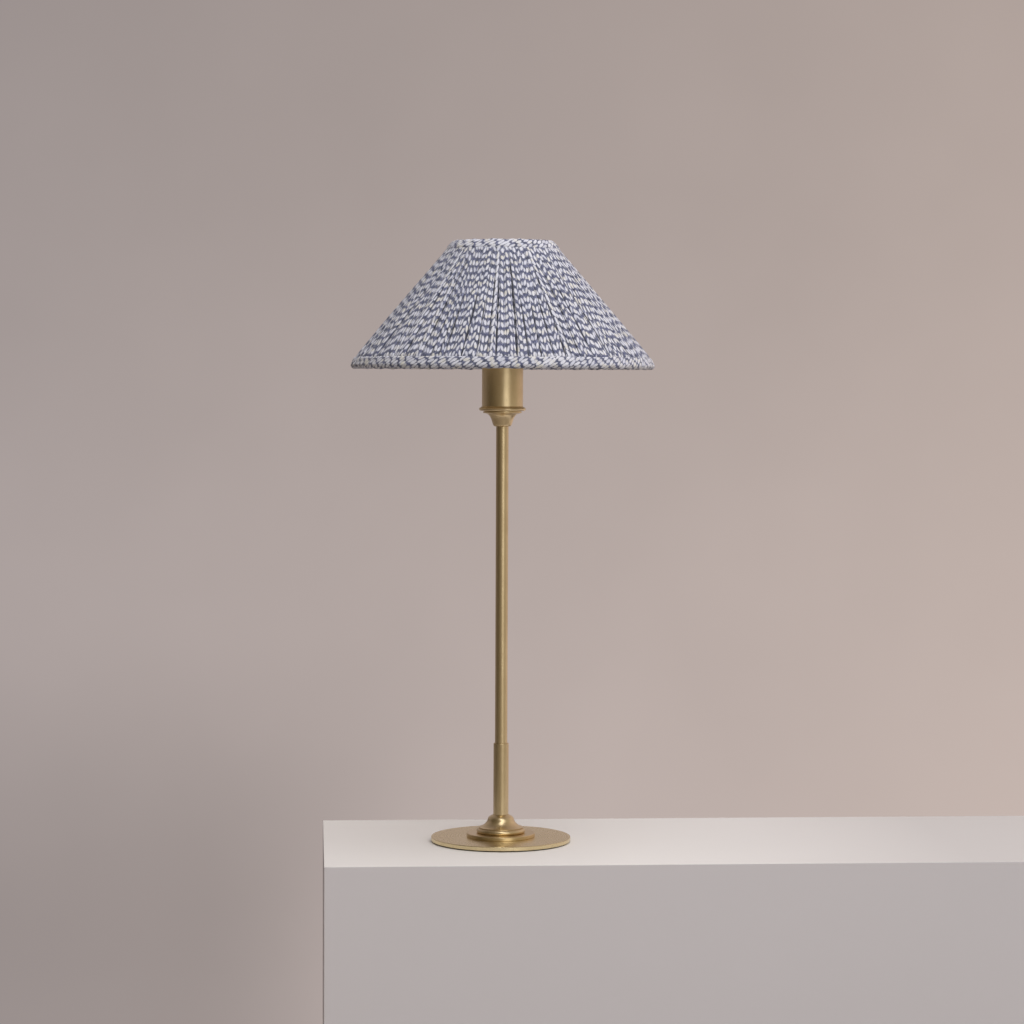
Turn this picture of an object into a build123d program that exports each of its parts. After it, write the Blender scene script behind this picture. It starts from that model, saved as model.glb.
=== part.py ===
from build123d import *
import math
import os

# Candlestick table lamp: a round brass foot, a slim stem in a sleeve, a turned cup
# that holds an E27 lampholder, and a lined, gathered cloth shade on a wire carrier.
# Millimetres, +Z up. Origin: centre of the felt's underside, on the stem's axis.

# ---------------------------------------------------------------- driving dimensions
# heights up the lamp
Z_FELT = 1.2            # felt pad thickness, and underside of the foot plate
Z_PLATE = 5.2           # top face of the foot plate
Z_FLANGE = 9.0          # top of the boss's wide flange
Z_BEAD = 13.6           # top of the boss's bead
Z_BOSS = 27.0           # top of the boss, where the sleeve and stem stand
Z_SLEEVE = 99.0         # top of the short outer sleeve on the stem
Z_CUP = 415.8           # underside of the turned cup
Z_RIM = 434.9           # top of the cup's rolled flange
Z_SKIRT = 482.0         # top of the plain cylinder round the lampholder
Z_SHOULDER = 484.0      # top of the lampholder's shoulder, where the carrier sits
Z_HOLDER = 496.5        # mouth of the lampholder
Z_TIP = 470.0           # tip of the bulb's cap when screwed home
Z_SEAT = 557.5          # where the shade's centre ring rests on the carrier
# radii
R_PLATE = 69.8
R_FELT = 68.0
R_FLANGE = 34.2
R_BEAD = 24.45
R_BOSS_CAVITY = 11.0
R_SLEEVE = 7.55
R_STEM = 6.2
R_ROD = 4.95            # M10x1 hollow rod
R_ROD_BORE = 3.6
R_CUP_FLANGE = 23.3
R_SKIRT = 20.5
R_HOLDER = 18.9         # lampholder body, under its thread
R_HOLDER_THREAD = 19.3
R_SHOULDER = 22.0
# lampholder and bulb thread, E27
PITCH = 3.629
R_CAP_CORE = 12.1
R_CAP_RIDGE = 1.1
R_SHELL_BORE = 13.6
R_SHELL = 14.3
R_SHELL_RIDGE = 1.05
R_GLOBE = 22.5
# shade: centres of its two wire rings
R_TOP, Z_TOP, W_TOP = 48.2, 596.6, 1.4
R_BOT, Z_BOT, W_BOT = 147.6, 476.4, 1.6
W_STRUT = 1.2
N_STRUTS = 8
R_OPENING = 30.0        # hole of the shade's centre ring
# flex entry at the back of the boss
Z_FLEX = 17.8
Y_FLEX = 17.0           # seat of the bush's collar
R_FLEX_BORE = 3.1

parts = {}


# ---------------------------------------------------------------- helpers
def outline(start, *steps):
    """Face in the XZ plane from (r, z) points. A step is a point, a pair of points
    for an arc through the first to the second, or a list of points for a spline."""
    edges, here = [], start
    at = lambda p: (p[0], 0, p[1])
    for s in steps:
        if isinstance(s, list):
            edges.append(Edge.make_spline([Vector(*at(p)) for p in [here, *s]]))
            here = s[-1]
        elif isinstance(s[0], tuple):
            edges.append(Edge.make_three_point_arc(at(here), at(s[0]), at(s[1])))
            here = s[1]
        else:
            edges.append(Edge.make_line(at(here), at(s)))
            here = s
    if math.dist(here, start) > 1e-9:
        edges.append(Edge.make_line(at(here), at(start)))
    return Face(Wire(edges))


def turned(start, *steps):
    return revolve(outline(start, *steps), Axis.Z, 360)


def ring(r0, r1, z0, z1):
    return turned((r0, z0), (r1, z0), (r1, z1), (r0, z1))


def rod(r, z0, z1, x=0.0, y=0.0):
    return Pos(x, y, (z0 + z1) / 2) * Cylinder(r, z1 - z0)


def torus(r, w, z):
    return Pos(0, 0, z) * Torus(r, w)


def wire(points, r, tangent=None):
    """A bent wire of radius r along a smooth line."""
    if len(points) == 2:
        path = Edge.make_line(Vector(*points[0]), Vector(*points[1]))
    else:
        path = Edge.make_spline([Vector(*p) for p in points])
    face = Plane(origin=path @ 0, z_dir=path % 0) * Circle(r)
    return sweep(face, path)


def around(shape, count, first=0.0):
    return [Rot(0, 0, first + 360 / count * i) * shape for i in range(count)]


def save(name, *shapes):
    flat = []
    for s in shapes:
        flat += s if isinstance(s, list) else [s]
    solids = [x for s in flat for x in s.solids()]
    parts[name] = Compound(children=solids) if len(solids) > 1 else solids[0]


def slant(s, off):
    """(r, z) at distance s down the line between the two shade rings, and off outwards from it."""
    dr, dz = R_BOT - R_TOP, Z_BOT - Z_TOP
    n = math.hypot(dr, dz)
    dr, dz = dr / n, dz / n
    return (R_TOP + dr * s - dz * off, Z_TOP + dz * s + dr * off)


LINE = math.hypot(R_BOT - R_TOP, Z_BOT - Z_TOP)

# ---------------------------------------------------------------- foot
save("foot_felt", rod(R_FELT, 0, Z_FELT))

plate = turned((0, Z_FELT), (R_PLATE - 0.4, Z_FELT), (R_PLATE, Z_FELT + 0.4),
               (R_PLATE, Z_PLATE - 0.55), ((R_PLATE - 0.16, Z_PLATE - 0.16), (R_PLATE - 0.55, Z_PLATE)), (0, Z_PLATE))
screw_at = [(17.0 * math.cos(math.radians(a)), 17.0 * math.sin(math.radians(a))) for a in (30, 150, 270)]
for x, y in screw_at:
    plate -= rod(2.15, Z_FELT - 1, Z_PLATE + 1, x, y)
    plate -= Pos(x, y, Z_FELT + 1.2) * Cone(4.2, 2.15, 2.4)
save("base_plate", plate)

screws = []
for x, y in screw_at:
    head = Pos(x, y, Z_FELT + 1.2) * Cone(4.05, 1.9, 2.4)
    slot = Pos(x, y, Z_FELT) * Box(9, 0.9, 1.2)
    screws.append(head + rod(1.9, Z_FELT + 2.0, 12.0, x, y) - slot)
save("base_screws", *screws)

boss = turned(
    (R_BOSS_CAVITY, Z_PLATE), (R_FLANGE - 0.3, Z_PLATE), (R_FLANGE, Z_PLATE + 0.3),
    (R_FLANGE, Z_FLANGE - 0.7), ((R_FLANGE - 0.2, Z_FLANGE - 0.2), (R_FLANGE - 0.7, Z_FLANGE)),
    (23.0, Z_FLANGE), ((R_BEAD, 11.2), (22.9, Z_BEAD)),
    (21.5, Z_BEAD), (21.5, 13.9), (22.0, 14.1), ((22.15, 14.4), (21.9, 14.7)),
    [(20.0, 15.2), (18.2, 16.15), (16.4, 17.5), (14.9, 19.05), (13.85, 20.6), (13.35, 21.9), (13.1, 22.85),
     (12.45, 24.1), (11.2, 25.3), (9.6, 26.2), (8.2, Z_BOSS)],
    (R_ROD + 0.05, Z_BOSS), (R_ROD + 0.05, 19.5), (10.0, 19.5), (10.0, 14.0), (R_BOSS_CAVITY, 13.0))
for x, y in screw_at:
    boss -= rod(1.95, Z_PLATE - 1, 12.4, x, y)
boss -= Pos(0, 17.0, Z_FLEX) * Rot(90, 0, 0) * Cylinder(4.05, 18.0)
boss -= Pos(0, Y_FLEX + 10.0, Z_FLEX) * Rot(90, 0, 0) * Cylinder(5.1, 20.0)
boss -= rod(1.35, 19.0, 24.0, 0, -7.6)
save("base_boss", boss)

collar = Pos(0, Y_FLEX + 1.4, Z_FLEX) * Rot(90, 0, 0) * Cylinder(5.0, 2.8)
collar = fillet(collar.edges().group_by(Axis.Y)[-1], 1.0)
bush = Pos(0, Y_FLEX - 4.2, Z_FLEX) * Rot(90, 0, 0) * Cylinder(4.0, 8.4) + collar
bush -= Pos(0, 17, Z_FLEX) * Rot(90, 0, 0) * Cylinder(R_FLEX_BORE, 30.0)
save("flex_bush", bush)

tag = Pos(0, -7.6, 19.2) * Cylinder(2.35, 0.6) + Pos(2.6, -7.6, 19.2) * Box(4.0, 2.2, 0.6)
tag -= rod(1.4, 18, 20, 0, -7.6)
save("earth_tag", tag)
save("earth_screw", rod(2.2, 17.4, 18.9, 0, -7.6) - Pos(0, -7.6, 17.4) * Box(5, 0.7, 1.2)
     + rod(1.3, 18.6, 23.6, 0, -7.6))

# ---------------------------------------------------------------- stem
save("tie_rod", ring(R_ROD_BORE, R_ROD, 20.0, 450.0))
save("stem_tube", ring(5.2, R_STEM, Z_BOSS, Z_CUP + 1.5))
save("stem_sleeve", turned((R_STEM + 0.1, Z_BOSS), (R_SLEEVE - 0.15, Z_BOSS), (R_SLEEVE, Z_BOSS + 0.15), (R_SLEEVE, Z_SLEEVE - 0.6),
                           ((R_SLEEVE - 0.18, Z_SLEEVE - 0.18), (R_SLEEVE - 0.6, Z_SLEEVE)), (R_STEM + 0.1, Z_SLEEVE)))

# ---------------------------------------------------------------- cup and lampholder
cup = turned(
    (R_STEM + 0.05, Z_CUP), (6.9, Z_CUP),
    [(8.6, Z_CUP + 0.75), (9.75, Z_CUP + 3.0), (10.7, Z_CUP + 6.0), (11.9, Z_CUP + 9.0), (13.9, Z_CUP + 11.6), (17.4, Z_CUP + 13.1)],
    (19.0, 429.3), ((19.35, 430.05), (19.0, 430.8)), (18.3, 430.8), (18.3, 431.4), (21.7, 431.4),
    ((R_CUP_FLANGE, 433.15), (21.7, Z_RIM)), (19.4, Z_RIM), (19.4, 439.0), (18.0, 439.0), (18.0, 433.0),
    (9.6, 423.0), (9.6, 420.5), (R_ROD + 0.05, 420.5), (R_ROD + 0.05, Z_CUP + 1.5), (R_STEM + 0.05, Z_CUP + 1.5))
save("holder_cup", cup)
save("cup_washer", ring(R_ROD + 0.1, 8.6, 420.5, 421.3))
nut = Pos(0, 0, 422.8) * extrude(RegularPolygon(8.0, 6), 1.5, both=True)
nut = nut & (Pos(0, 0, 422.8) * Cylinder(7.75, 3.0))
save("cup_nut", nut - rod(R_ROD + 0.02, 420, 426))

save("holder_skirt", turned((19.5, Z_RIM), (20.9, Z_RIM), ((21.15, Z_RIM + 0.4), (20.9, Z_RIM + 0.8)), (R_SKIRT, Z_RIM + 1.0),
                            (R_SKIRT, Z_SKIRT - 0.3), (R_SKIRT - 0.3, Z_SKIRT), (19.5, Z_SKIRT)))

# lampholder: cap, body, ceramic contact block, screw shell, contacts
save("lampholder_cap", turned(
    (R_ROD + 0.05, 441.0), (8.5, 441.0), (8.5, 444.0), [(12.0, 445.0), (15.6, 448.0), (17.4, 452.0)], (17.4, 455.0),
    (14.9, 455.0), (14.9, 452.0), (11.0, 448.0), (R_ROD + 0.05, 448.0)))
threads = [ring(R_HOLDER - 0.1, R_HOLDER_THREAD, z, z + 0.95) for z in [Z_SHOULDER + 1.0 + 1.9 * i for i in range(6)]]
body = ring(14.9, R_HOLDER, 455.0, Z_HOLDER)
body += ring(17.0, R_SHOULDER, Z_SKIRT, Z_SHOULDER)
for t in threads:
    body += t
body += ring(17.5, R_HOLDER, 450.0, 455.5)
body += ring(13.7, 15.2, 455.0, 457.0)
save("lampholder_body", body)
block = rod(14.8, 457.0, 463.0)
block -= rod(2.2, 456, 464, 8.0, 0) + rod(2.2, 456, 464, -8.0, 0)
save("contact_block", block)

shell = ring(R_SHELL_BORE, R_SHELL, 463.0, 492.0)
shell += ring(14.0, 14.8, 463.0, 464.0)
cap_core = rod(R_CAP_CORE, 474.5, 497.4)
shell_ridge = cap_ridge = None
turns_h = 16.5
helix_c = Edge.make_helix(PITCH, turns_h, R_CAP_CORE, center=(0, 0, Z_TIP + 6.2))
sec = Plane(origin=helix_c @ 0, z_dir=helix_c % 0) * Circle(R_CAP_RIDGE)
cap_ridge = sweep(sec, helix_c, is_frenet=True)
helix_s = Edge.make_helix(PITCH, 21.8, R_SHELL_BORE - 0.05, center=(0, 0, Z_TIP + 6.2 - PITCH * 1.5))
sec = Plane(origin=helix_s @ 0, z_dir=helix_s % 0) * Circle(R_SHELL_RIDGE)
shell_ridge = sweep(sec, helix_s, is_frenet=True) & ring(R_SHELL_BORE - 2, R_SHELL - 0.1, 463.2, 491.8)
save("screw_shell", shell + shell_ridge)

tongue = Box(4.4, 12.0, 0.5, align=(Align.CENTER, Align.MIN, Align.MIN))
tongue = Pos(0, -9.0, 463.0) * Box(5.0, 5.0, 0.5, align=(Align.CENTER, Align.MIN, Align.MIN))
tongue += extrude(Plane.YZ * make_face(Polyline((-4.3, 463.0), (-4.3, 463.5), (1.2, 469.5), (3.2, 469.5), (3.2, 469.0), (1.5, 469.0), (-3.7, 463.3), (-3.7, 463.0), (-4.3, 463.0))), 2.2, both=True)
save("centre_contact", tongue)
posts = [Pos(x, 0, 454.0) * Box(6.0, 7.0, 6.0) + rod(2.1, 456.5, 463.0, x, 0) for x in (-8.0, 8.0)]
posts = [p - rod(1.25, 450.0, 455.5, x, 0) - Pos(x, 0, 452.8) * Rot(90, 0, 0) * Cylinder(1.3, 20) for p, x in zip(posts, (-8.0, 8.0))]
save("terminal_posts", *posts)
save("terminal_screws", *[rod(1.2, 450.2, 454.8, x, 0) + rod(1.9, 448.9, 450.4, x, 0) - Pos(x, 0, 448.9) * Box(5, 0.6, 1.0) for x in (-8.0, 8.0)])

# ---------------------------------------------------------------- bulb
save("bulb_contact", turned((0, Z_TIP), ((3.2, Z_TIP + 0.65), (4.6, Z_TIP + 1.42)), (0, Z_TIP + 1.42)))
save("bulb_insulator", turned((0, Z_TIP + 1.5), (4.6, Z_TIP + 1.5), ((7.6, Z_TIP + 2.3), (10.6, Z_TIP + 4.5)), (0, Z_TIP + 4.5)))
save("bulb_cap", cap_core + cap_ridge)
save("bulb_body", turned((0, 497.4), (13.9, 497.4), [(14.6, 502.0), (16.6, 508.0), (19.3, 514.0)], (19.3, 515.0), (17.6, 515.0),
                         (17.6, 513.5), (13.0, 504.0), (13.0, 499.0), (0, 499.0)))
save("bulb_driver", Pos(0, 0, 505.0) * Box(14.0, 1.4, 11.6))
led = rod(17.0, 513.6, 514.8)
for p in around(Pos(9.0, 0, 515.1) * Box(3.0, 3.0, 0.7), 6):
    led += p
save("bulb_led_board", led)
zc = 515.0 + math.sqrt(R_GLOBE ** 2 - 19.3 ** 2)
ri = R_GLOBE - 1.0
zi = 515.0
xi = math.sqrt(ri ** 2 - (zc - zi) ** 2)
save("bulb_globe", turned((xi, zi), (19.3, 515.0), ((R_GLOBE, zc), (0.0, zc + R_GLOBE)), (0.0, zc + ri), ((ri, zc), (xi, zi))))

# ---------------------------------------------------------------- clamp ring and carrier
clamp = turned((19.45, Z_SHOULDER + 1.2), (27.6, Z_SHOULDER + 1.2), (28.0, Z_SHOULDER + 1.6), (28.0, Z_SHOULDER + 3.4), (27.4, Z_SHOULDER + 4.0),
               (23.6, Z_SHOULDER + 4.0), (23.6, Z_SHOULDER + 8.6), (23.0, Z_SHOULDER + 9.2), (19.45, Z_SHOULDER + 9.2))
for c in around(Pos(23.9, 0, Z_SHOULDER + 7.0) * Cylinder(0.75, 8.0), 24):
    clamp -= c & ring(20, 26, Z_SHOULDER + 4.0, Z_SHOULDER + 10)
save("clamp_ring", clamp)

low = ring(19.8, 32.0, Z_SHOULDER, Z_SHOULDER + 1.2)
save("carrier_lower_ring", low)
top = turned((28.6, Z_SEAT - 1.5), (36.0, Z_SEAT - 1.5), (36.0, Z_SEAT), (29.6, Z_SEAT), (29.6, Z_SEAT + 3.5), (28.6, Z_SEAT + 3.5))
save("carrier_top_ring", top)
arm = wire([(30.4, 0, Z_SHOULDER + 1.2), (33.4, 0, Z_SHOULDER + 14), (34.6, 0, Z_SHOULDER + 38), (33.4, 0, Z_SHOULDER + 60), (32.4, 0, Z_SEAT - 1.5)], 1.2)
arm = arm & ring(20, 40, Z_SHOULDER + 1.2, Z_SEAT - 1.5)
save("carrier_arms", around(arm, 3, 90))

# ---------------------------------------------------------------- shade frame
top_ring, bottom_ring = torus(R_TOP, W_TOP, Z_TOP), torus(R_BOT, W_BOT, Z_BOT)
save("shade_top_ring", top_ring)
save("shade_bottom_ring", bottom_ring)
a, b = slant(0.0, 0.0), slant(LINE, 0.0)
strut = wire([(a[0], 0, a[1]), (b[0], 0, b[1])], W_STRUT)
strut = strut - torus(R_TOP, W_TOP + 0.03, Z_TOP) - torus(R_BOT, W_BOT + 0.03, Z_BOT)
strut = max(strut.solids(), key=lambda s: s.volume)
struts = around(strut, N_STRUTS, 22.5)
save("shade_struts", struts)
centre = ring(R_OPENING, 37.0, Z_SEAT, Z_SEAT + 1.4)
save("shade_centre_ring", centre)
arm_line = [(35.4, 0, Z_SEAT + 0.7), (37.5, 0, Z_SEAT + 10), (42.0, 0, Z_SEAT + 27), (R_TOP - 1.0, 0, Z_TOP - 0.4)]
arm = wire(arm_line, 1.2)
arm = arm - centre - torus(R_TOP, W_TOP + 0.03, Z_TOP)
arm = max(arm.solids(), key=lambda s: s.volume)
centre_arms = around(arm, 3, 30)
save("shade_centre_arms", centre_arms)

# ---------------------------------------------------------------- lining, gathered cover, bindings
P = slant
save("shade_lining", turned(P(3.6, -2.6), P(3.6, -1.8), P(LINE - 3.8, -1.8), P(LINE - 3.8, -2.6)))
save("shade_cover", turned(P(2.2, 1.6), P(2.2, 2.5), P(12.0, 2.9), P(LINE - 8.0, 3.8), P(LINE - 1.5, 3.2), P(LINE - 1.5, 1.8), P(LINE - 14.0, 1.6)))


# each binding is a strip folded round its ring, with a flap over the edge of the cover
c = Pos(R_TOP, 0, Z_TOP) * (Plane.XZ * Circle(W_TOP + 2.0))
h = Pos(R_TOP, 0, Z_TOP) * (Plane.XZ * Circle(W_TOP + 0.02))
f = outline(P(-0.5, 2.55), P(9.5, 2.95), P(9.5, 3.6), P(-0.5, 3.3))
cut = outline(P(1.8, -1.55), P(16.0, -1.55), P(16.0, 2.93), P(9.6, 2.93), P(2.1, 2.53), P(1.8, 2.3))
sec = (c + f) - h - cut
bound = revolve(sec, Axis.Z, 360)
for s in struts + centre_arms:
    bound -= s
save("top_binding", bound)
c = Pos(R_BOT, 0, Z_BOT) * (Plane.XZ * Circle(W_BOT + 1.7))
h = Pos(R_BOT, 0, Z_BOT) * (Plane.XZ * Circle(W_BOT + 0.02))
f = outline(P(LINE - 7.4, 3.82), P(LINE - 1.0, 3.25), P(LINE + 0.6, 3.2), P(LINE + 0.6, 3.9), P(LINE - 1.0, 4.1), P(LINE - 6.4, 4.55), P(LINE - 7.4, 4.5))
cut = outline(P(LINE - 16.0, -1.7), P(LINE - 1.4, -1.7), P(LINE - 1.4, 3.24), P(LINE - 8.0, 3.84), P(LINE - 16.0, 3.77))
sec = (c + f) - h - cut
bound = revolve(sec, Axis.Z, 360)
for s in struts:
    bound -= s
save("bottom_binding", bound)

os.makedirs("parts", exist_ok=True)
for old in os.listdir("parts"):
    if old.endswith(".step"):
        os.remove(os.path.join("parts", old))
for name, shape in parts.items():
    export_step(shape, f"parts/{name}.step")
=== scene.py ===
import bpy
import math
import numpy as np
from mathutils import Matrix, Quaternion, Vector


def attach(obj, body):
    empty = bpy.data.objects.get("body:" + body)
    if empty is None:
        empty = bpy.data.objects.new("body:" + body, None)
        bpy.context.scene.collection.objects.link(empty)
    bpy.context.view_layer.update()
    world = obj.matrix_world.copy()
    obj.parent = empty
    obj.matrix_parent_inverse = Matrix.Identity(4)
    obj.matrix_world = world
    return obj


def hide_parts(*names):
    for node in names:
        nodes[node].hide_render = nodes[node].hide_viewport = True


# Candlestick table lamp: looks. Metres, +Z up, origin under the middle of the foot.

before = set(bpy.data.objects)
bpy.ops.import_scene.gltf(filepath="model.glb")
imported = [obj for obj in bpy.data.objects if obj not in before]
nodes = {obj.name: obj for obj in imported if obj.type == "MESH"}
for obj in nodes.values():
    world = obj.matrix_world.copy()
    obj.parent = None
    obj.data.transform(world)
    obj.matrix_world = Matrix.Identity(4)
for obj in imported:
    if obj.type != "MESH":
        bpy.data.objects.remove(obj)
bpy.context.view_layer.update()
RNG = np.random.default_rng(20411)
MM = 0.001


# ------------------------------------------------------------------ small helpers
def link(obj):
    bpy.context.scene.collection.objects.link(obj)
    return obj


def mesh_object(name, verts, faces, smooth=True):
    me = bpy.data.meshes.new(name)
    v = np.asarray(verts, np.float32).reshape(-1, 3)
    f = np.asarray(faces, np.int32)
    if f.ndim == 2:
        k = f.shape[1]
        me.vertices.add(len(v))
        me.vertices.foreach_set("co", v.ravel())
        me.loops.add(f.size)
        me.loops.foreach_set("vertex_index", f.ravel())
        me.polygons.add(len(f))
        me.polygons.foreach_set("loop_start", np.arange(0, f.size, k, dtype=np.int32))
        me.polygons.foreach_set("loop_total", np.full(len(f), k, np.int32))
    else:
        me.from_pydata([tuple(p) for p in v], [], [list(x) for x in faces])
    me.update(calc_edges=True)
    me.validate()
    me.polygons.foreach_set("use_smooth", np.full(len(me.polygons), smooth))
    return link(bpy.data.objects.new(name, me))


def uv_layer(obj, name, per_vertex):
    me = obj.data
    idx = np.empty(len(me.loops), np.int32)
    me.loops.foreach_get("vertex_index", idx)
    layer = me.uv_layers.new(name=name, do_init=False)
    layer.uv.foreach_set("vector", np.asarray(per_vertex, np.float32)[idx].ravel())
    return layer


def uv_loops(obj, name, per_loop):
    layer = obj.data.uv_layers.new(name=name, do_init=False)
    layer.uv.foreach_set("vector", np.asarray(per_loop, np.float32).ravel())
    return layer


def value_attribute(obj, name, values):
    a = obj.data.attributes.new(name, "FLOAT", "POINT")
    a.data.foreach_set("value", np.asarray(values, np.float32))


def put(obj, body, material=None, replaces=()):
    if material is not None:
        obj.data.materials.clear()
        obj.data.materials.append(material)
    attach(obj, body)
    if replaces:
        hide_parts(*replaces)
    return obj


def wear(node_name, material):
    """Gives a CAD node its finished material."""
    o = nodes[node_name]
    if not o.material_slots:
        o.data.materials.append(material)
    for s in o.material_slots:
        s.material = material
    o.data.polygons.foreach_set("use_smooth", np.full(len(o.data.polygons), True))
    return o


# ------------------------------------------------------------------ shader building
class Tree:
    def __init__(self, name):
        self.mat = bpy.data.materials.new(name)
        self.mat.use_nodes = True
        self.nt = self.mat.node_tree
        self.nt.nodes.clear()
        self.out = self.nt.nodes.new("ShaderNodeOutputMaterial")
        self.p = self.nt.nodes.new("ShaderNodeBsdfPrincipled")
        self.nt.links.new(self.p.outputs[0], self.out.inputs["Surface"])

    def node(self, kind, **props):
        n = self.nt.nodes.new(kind)
        for k, v in props.items():
            setattr(n, k, v)
        return n

    def link(self, a, b):
        if isinstance(a, (int, float)):
            b.default_value = a
        elif isinstance(a, (tuple, list)):
            b.default_value = a if len(a) != 3 or b.type != "RGBA" else (*a, 1)
        else:
            self.nt.links.new(a, b)

    def math(self, op, a, b=None, c=None, clamp=False):
        n = self.node("ShaderNodeMath", operation=op, use_clamp=clamp)
        for i, x in enumerate((a, b, c)):
            if x is not None:
                self.link(x, n.inputs[i])
        return n.outputs[0]

    def vmath(self, op, a, b=None, scale=None):
        n = self.node("ShaderNodeVectorMath", operation=op)
        self.link(a, n.inputs[0])
        if b is not None:
            self.link(b, n.inputs[1])
        if scale is not None:
            self.link(scale, n.inputs["Scale"])
        return n.outputs["Value"] if op in ("LENGTH", "DOT_PRODUCT", "DISTANCE") else n.outputs[0]

    def xyz(self, v):
        n = self.node("ShaderNodeSeparateXYZ")
        self.link(v, n.inputs[0])
        return n.outputs[0], n.outputs[1], n.outputs[2]

    def vec(self, x, y, z=0.0):
        n = self.node("ShaderNodeCombineXYZ")
        for s, v in zip(n.inputs, (x, y, z)):
            self.link(v, s)
        return n.outputs[0]

    def coord(self, kind="Object"):
        return self.node("ShaderNodeTexCoord").outputs[kind]

    def uv(self, name):
        return self.node("ShaderNodeUVMap", uv_map=name).outputs[0]

    def attr(self, name):
        return self.node("ShaderNodeAttribute", attribute_name=name).outputs["Fac"]

    def noise(self, vector, scale, detail=3.0, rough=0.5, dims="3D", out="Fac"):
        n = self.node("ShaderNodeTexNoise", noise_dimensions=dims)
        if dims != "1D":
            self.link(vector, n.inputs["Vector"])
        n.inputs["Scale"].default_value = scale
        n.inputs["Detail"].default_value = detail
        n.inputs["Roughness"].default_value = rough
        return n.outputs[out]

    def white(self, vector, out="Value"):
        n = self.node("ShaderNodeTexWhiteNoise", noise_dimensions="2D")
        self.link(vector, n.inputs["Vector"])
        return n.outputs[out]

    def range(self, v, a, b, c=0.0, d=1.0, smooth=False):
        n = self.node("ShaderNodeMapRange", interpolation_type="SMOOTHSTEP" if smooth else "LINEAR", clamp=True)
        self.link(v, n.inputs["Value"])
        for k, x in (("From Min", a), ("From Max", b), ("To Min", c), ("To Max", d)):
            self.link(x, n.inputs[k])
        return n.outputs["Result"]

    def mix(self, f, a, b, kind="MIX"):
        n = self.node("ShaderNodeMix", data_type="RGBA", blend_type=kind)
        self.link(f, n.inputs[0])
        self.link(a, n.inputs[6])
        self.link(b, n.inputs[7])
        return n.outputs[2]

    def bump(self, height, strength, distance, normal=None):
        n = self.node("ShaderNodeBump")
        n.inputs["Strength"].default_value = strength
        n.inputs["Distance"].default_value = distance
        self.link(height, n.inputs["Height"])
        if normal is not None:
            self.link(normal, n.inputs["Normal"])
        return n.outputs[0]

    def set(self, **kw):
        names = dict(color="Base Color", metal="Metallic", rough="Roughness", normal="Normal", sheen="Sheen Weight",
                     sheen_rough="Sheen Roughness", sheen_tint="Sheen Tint", coat="Coat Weight", coat_rough="Coat Roughness",
                     aniso="Anisotropic", aniso_rot="Anisotropic Rotation", tangent="Tangent", ior="IOR", trans="Transmission Weight",
                     sss="Subsurface Weight", sss_radius="Subsurface Radius", sss_scale="Subsurface Scale",
                     spec="Specular IOR Level", emit="Emission Color", emit_strength="Emission Strength")
        for k, v in kw.items():
            self.link(v, self.p.inputs[names[k]])
        return self.mat


def srgb(r, g, b):
    f = lambda c: c / 12.92 if c <= 0.04045 else ((c + 0.055) / 1.055) ** 2.4
    return tuple(f(x / 255) for x in (r, g, b))


def brass_material(name, grain="vertical", tone=1.0, rough=0.31, age=1.0):
    """Satin brass that has aged a little: warm cloudy tone, fine brush lines, small dull spots."""
    t = Tree(name)
    co = t.coord("Object")
    x, y, z = t.xyz(co)
    if grain == "vertical":
        ang = t.math("ARCTAN2", y, x)
        fine = t.noise(t.vec(t.math("MULTIPLY", t.math("COSINE", ang), 1.0), t.math("SINE", ang), t.math("MULTIPLY", z, 0.9)), 55.0, 4.0, 0.6)
    elif grain == "around":
        fine = t.noise(t.vec(0.0, 0.0, z), 5200.0, 3.0, 0.6)
    else:
        r = t.vmath("LENGTH", t.vec(x, y, 0.0))
        fine = t.noise(t.vec(r, t.math("MULTIPLY", z, 3.0), 0.0), 2600.0, 3.0, 0.65)
    brushed = 0.35 if grain == "radial" else 1.0
    cloud = t.noise(co, 38.0, 5.0, 0.6)
    speck = t.range(t.noise(co, 420.0, 3.0, 0.7), 0.60, 0.74, 0.0, age, True)
    green = 1.045 if grain == "radial" else 1.0
    warm = (0.715 * tone, 0.575 * tone * green, 0.352 * tone * green)
    dull = (0.635 * tone, 0.500 * tone * green, 0.292 * tone * green)
    color = t.mix(t.range(cloud, 0.35, 0.68, 0.0, 0.35 + 0.65 * age), warm, dull)
    color = t.mix(t.math("MULTIPLY", speck, 0.22 if grain != "radial" else 0.10), color, (0.40 * tone, 0.28 * tone, 0.15 * tone))
    color = t.mix(t.range(fine, 0.3, 0.7, 0.0, 0.10 if grain != "radial" else 0.04), color, (0.79 * tone, 0.63 * tone, 0.41 * tone))
    r0 = t.math("ADD", t.range(cloud, 0.3, 0.7, rough - 0.035 * age, rough + 0.045 * age), t.range(fine, 0.3, 0.7, -0.03 * brushed, 0.03 * brushed))
    r0 = t.math("ADD", r0, t.math("MULTIPLY", speck, 0.08))
    n = t.bump(fine, 0.10 if grain == "radial" else 0.25, 0.00002)
    n = t.bump(t.noise(co, 120.0, 3.0, 0.5), 0.03 if grain == "radial" else 0.12, 0.0002, n)
    return t.set(color=color, metal=1.0, rough=r0, normal=n)


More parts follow.
